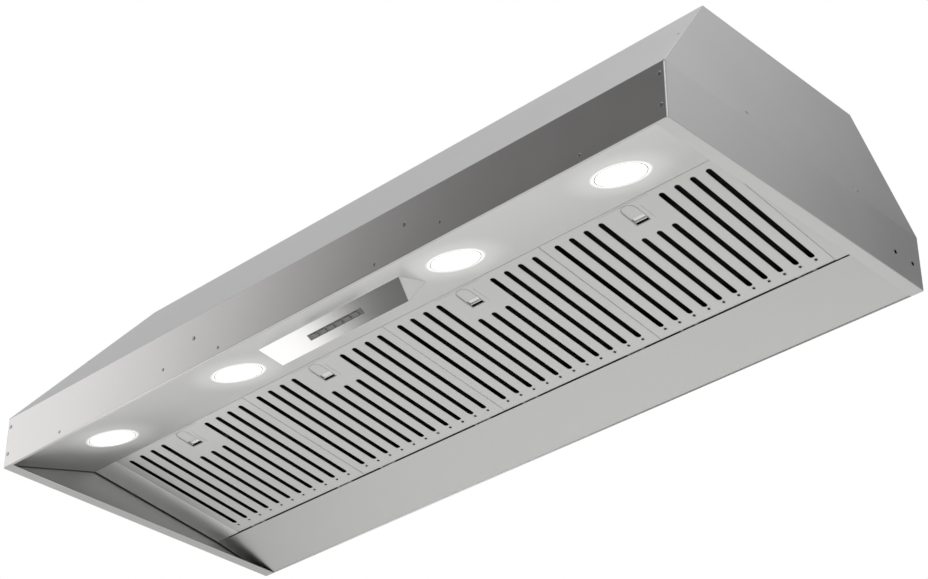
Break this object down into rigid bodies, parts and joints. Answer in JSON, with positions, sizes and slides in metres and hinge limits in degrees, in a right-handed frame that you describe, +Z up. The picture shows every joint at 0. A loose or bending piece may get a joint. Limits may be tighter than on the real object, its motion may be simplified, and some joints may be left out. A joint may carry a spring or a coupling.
{
  "type": "range hood insert",
  "caption": "Sheet steel range hood insert with sloped front and ends, slotted baffle filters with finger latches, round lamps, a push-button console, a blower and a damper collar.",
  "frame": {"origin": "on the rim plane, under the middle of the body", "axes": "+X to the right as seen from the front, +Y to the rear, +Z up"},
  "size_m": [1.168, 0.4848, 0.344],
  "materials": {
    "shell": "brushed, satin",
    "liner": "brushed, satin",
    "filter": "brushed, satin",
    "baffle": "satin",
    "console": "brushed, satin",
    "bezel": "fine texture",
    "button": "satin",
    "board": "solder mask",
    "lens": "diffusing",
    "lamp_body": "cast, satin",
    "led": "satin",
    "galvanised": "galvanised",
    "motor": "satin",
    "bright_steel": "turned",
    "lead": "satin"
  },
  "bodies": {
    "root": {"front_band": "shell", "front_slope_panel": "shell", "left_end_panel": "shell", "right_end_panel": "shell", "back_panel": "shell", "top_panel": "shell", "light_panel": "liner", "left_liner_strip": "liner", "right_liner_strip": "liner", "rear_liner_panel": "liner", "filter_hook_rail": "liner", "control_housing": "console", "button_bezel": "bezel", "cable_gland": "bezel", "control_board": "board", "lamp_lens_1": "lens", "lamp_lens_2": "lens", "lamp_lens_3": "lens", "lamp_lens_4": "lens", "lamp_cans": "lamp_body", "led_boards": "led", "lamp_driver": "led", "blower_scroll": "galvanised", "blower_side_left": "galvanised", "blower_side_right": "galvanised", "motor_bracket": "galvanised", "duct_collar": "galvanised", "power_box": "galvanised", "power_box_cover": "galvanised", "blower_motor": "motor", "damper_rod": "bright_steel", "screws": "bright_steel", "rivets": "bright_steel", "wiring": "lead"},
    "blower_wheel": {"impeller": "galvanised", "motor_shaft": "bright_steel"},
    "damper_front": {"damper_flap_front": "galvanised"},
    "damper_rear": {"damper_flap_rear": "galvanised"},
    "filter_1": {"filter_face_1": "filter", "filter_tray_1": "baffle"},
    "latch_1": {"latch_1": "filter"},
    "filter_2": {"filter_face_2": "filter", "filter_tray_2": "baffle"},
    "latch_2": {"latch_2": "filter"},
    "filter_3": {"filter_face_3": "filter", "filter_tray_3": "baffle"},
    "latch_3": {"latch_3": "filter"},
    "filter_4": {"filter_face_4": "filter", "filter_tray_4": "baffle"},
    "latch_4": {"latch_4": "filter"},
    "button_1": {"button_1": "button"},
    "button_2": {"button_2": "button"},
    "button_3": {"button_3": "button"},
    "button_4": {"button_4": "button"},
    "button_5": {"button_5": "button"},
    "button_6": {"button_6": "button"}
  },
  "joints": [
    {"name": "filter_hinge_1", "type": "hinge", "parent": "root", "child": "filter_1", "pos_m": [0, 0.14331, 0.02369], "axis": [1, 0, 0], "range_deg": [0, 60]},
    {"name": "filter_hinge_2", "type": "hinge", "parent": "root", "child": "filter_2", "pos_m": [0, 0.14331, 0.02369], "axis": [1, 0, 0], "range_deg": [0, 60]},
    {"name": "filter_hinge_3", "type": "hinge", "parent": "root", "child": "filter_3", "pos_m": [0, 0.14331, 0.02369], "axis": [1, 0, 0], "range_deg": [0, 60]},
    {"name": "filter_hinge_4", "type": "hinge", "parent": "root", "child": "filter_4", "pos_m": [0, 0.14331, 0.02369], "axis": [1, 0, 0], "range_deg": [0, 60]},
    {"name": "latch_slide_1", "type": "slide", "parent": "filter_1", "child": "latch_1", "axis": [0, 0.992, -0.126], "range_m": [0, 0.0033], "stiffness_N_per_m": 400, "springref_m": -0.004},
    {"name": "latch_slide_2", "type": "slide", "parent": "filter_2", "child": "latch_2", "axis": [0, 0.992, -0.126], "range_m": [0, 0.0033], "stiffness_N_per_m": 400, "springref_m": -0.004},
    {"name": "latch_slide_3", "type": "slide", "parent": "filter_3", "child": "latch_3", "axis": [0, 0.992, -0.126], "range_m": [0, 0.0033], "stiffness_N_per_m": 400, "springref_m": -0.004},
    {"name": "latch_slide_4", "type": "slide", "parent": "filter_4", "child": "latch_4", "axis": [0, 0.992, -0.126], "range_m": [0, 0.0033], "stiffness_N_per_m": 400, "springref_m": -0.004},
    {"name": "blower_spin", "type": "hinge", "parent": "root", "child": "blower_wheel", "pos_m": [0, 0.03, 0.178], "axis": [1, 0, 0], "continuous": true},
    {"name": "damper_front_hinge", "type": "hinge", "parent": "root", "child": "damper_front", "pos_m": [0, 0.11, 0.3166], "axis": [-1, 0, 0], "range_deg": [0, 78]},
    {"name": "damper_rear_hinge", "type": "hinge", "parent": "root", "child": "damper_rear", "pos_m": [0, 0.11, 0.3166], "axis": [1, 0, 0], "range_deg": [0, 78]},
    {"name": "button_press_1", "type": "slide", "parent": "root", "child": "button_1", "axis": [0, 0.4466, 0.8948], "range_m": [0, 0.0008], "stiffness_N_per_m": 1500, "springref_m": -0.0005},
    {"name": "button_press_2", "type": "slide", "parent": "root", "child": "button_2", "axis": [0, 0.4466, 0.8948], "range_m": [0, 0.0008], "stiffness_N_per_m": 1500, "springref_m": -0.0005},
    {"name": "button_press_3", "type": "slide", "parent": "root", "child": "button_3", "axis": [0, 0.4466, 0.8948], "range_m": [0, 0.0008], "stiffness_N_per_m": 1500, "springref_m": -0.0005},
    {"name": "button_press_4", "type": "slide", "parent": "root", "child": "button_4", "axis": [0, 0.4466, 0.8948], "range_m": [0, 0.0008], "stiffness_N_per_m": 1500, "springref_m": -0.0005},
    {"name": "button_press_5", "type": "slide", "parent": "root", "child": "button_5", "axis": [0, 0.4466, 0.8948], "range_m": [0, 0.0008], "stiffness_N_per_m": 1500, "springref_m": -0.0005},
    {"name": "button_press_6", "type": "slide", "parent": "root", "child": "button_6", "axis": [0, 0.4466, 0.8948], "range_m": [0, 0.0008], "stiffness_N_per_m": 1500, "springref_m": -0.0005}
  ]
}
